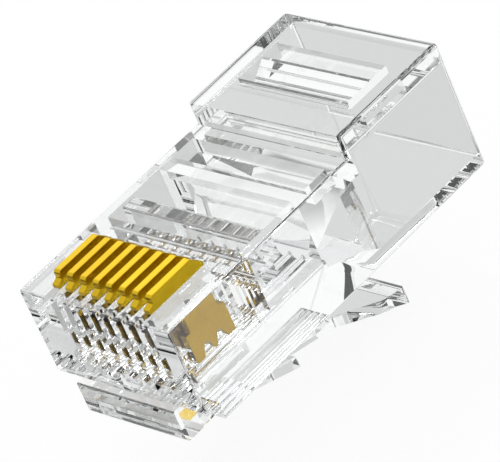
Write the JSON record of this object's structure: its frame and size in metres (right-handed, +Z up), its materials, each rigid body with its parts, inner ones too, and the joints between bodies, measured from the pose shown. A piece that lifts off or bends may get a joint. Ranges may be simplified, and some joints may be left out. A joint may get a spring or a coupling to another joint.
{
  "type": "rj45 modular plug",
  "caption": "Clear modular plug for network cable, with gold blade contacts waiting to be crimped, a sprung latch and fold-in clamp bars.",
  "frame": {"origin": "in the plane of the nose face, on the centre line, level with the flat underside of the body", "axes": "-Y out of the nose into the jack, +Y back to the cable entry, +X across the contacts, +Z up with the contacts on top and the latch below"},
  "size_m": [0.0116, 0.0235, 0.0136],
  "materials": {
    "clear_polycarbonate": "water-clear moulded polycarbonate, polished",
    "gold_plated_bronze": "gold-plated phosphor bronze, stamped and bright"
  },
  "bodies": {
    "housing": {"housing": "clear_polycarbonate"},
    "latch": {"latch": "clear_polycarbonate"},
    "wire_clamp": {"wire_clamp": "clear_polycarbonate"},
    "jacket_clamp": {"jacket_clamp": "clear_polycarbonate"},
    "contact_1": {"contact_1": "gold_plated_bronze"},
    "contact_2": {"contact_2": "gold_plated_bronze"},
    "contact_3": {"contact_3": "gold_plated_bronze"},
    "contact_4": {"contact_4": "gold_plated_bronze"},
    "contact_5": {"contact_5": "gold_plated_bronze"},
    "contact_6": {"contact_6": "gold_plated_bronze"},
    "contact_7": {"contact_7": "gold_plated_bronze"},
    "contact_8": {"contact_8": "gold_plated_bronze"}
  },
  "joints": [
    {"name": "latch_press", "type": "hinge", "parent": "housing", "child": "latch", "pos_m": [0, 0.0008, -0.0006], "axis": [1, 0, 0], "range_deg": [0, 12], "stiffness_Nm_per_rad": 0.35},
    {"name": "wire_clamp_fold", "type": "hinge", "parent": "housing", "child": "wire_clamp", "pos_m": [0, 0.0065, 0.005], "axis": [-1, 0, 0], "range_deg": [0, 22]},
    {"name": "jacket_clamp_fold", "type": "hinge", "parent": "housing", "child": "jacket_clamp", "pos_m": [0, 0.0172, 0.00725], "axis": [-1, 0, 0], "range_deg": [0, 25]},
    {"name": "contact_1_crimp", "type": "slide", "parent": "housing", "child": "contact_1", "axis": [0, 0, -1], "range_m": [0, 0.00155]},
    {"name": "contact_2_crimp", "type": "slide", "parent": "housing", "child": "contact_2", "axis": [0, 0, -1], "range_m": [0, 0.00155]},
    {"name": "contact_3_crimp", "type": "slide", "parent": "housing", "child": "contact_3", "axis": [0, 0, -1], "range_m": [0, 0.00155]},
    {"name": "contact_4_crimp", "type": "slide", "parent": "housing", "child": "contact_4", "axis": [0, 0, -1], "range_m": [0, 0.00155]},
    {"name": "contact_5_crimp", "type": "slide", "parent": "housing", "child": "contact_5", "axis": [0, 0, -1], "range_m": [0, 0.00155]},
    {"name": "contact_6_crimp", "type": "slide", "parent": "housing", "child": "contact_6", "axis": [0, 0, -1], "range_m": [0, 0.00155]},
    {"name": "contact_7_crimp", "type": "slide", "parent": "housing", "child": "contact_7", "axis": [0, 0, -1], "range_m": [0, 0.00155]},
    {"name": "contact_8_crimp", "type": "slide", "parent": "housing", "child": "contact_8", "axis": [0, 0, -1], "range_m": [0, 0.00155]}
  ]
}
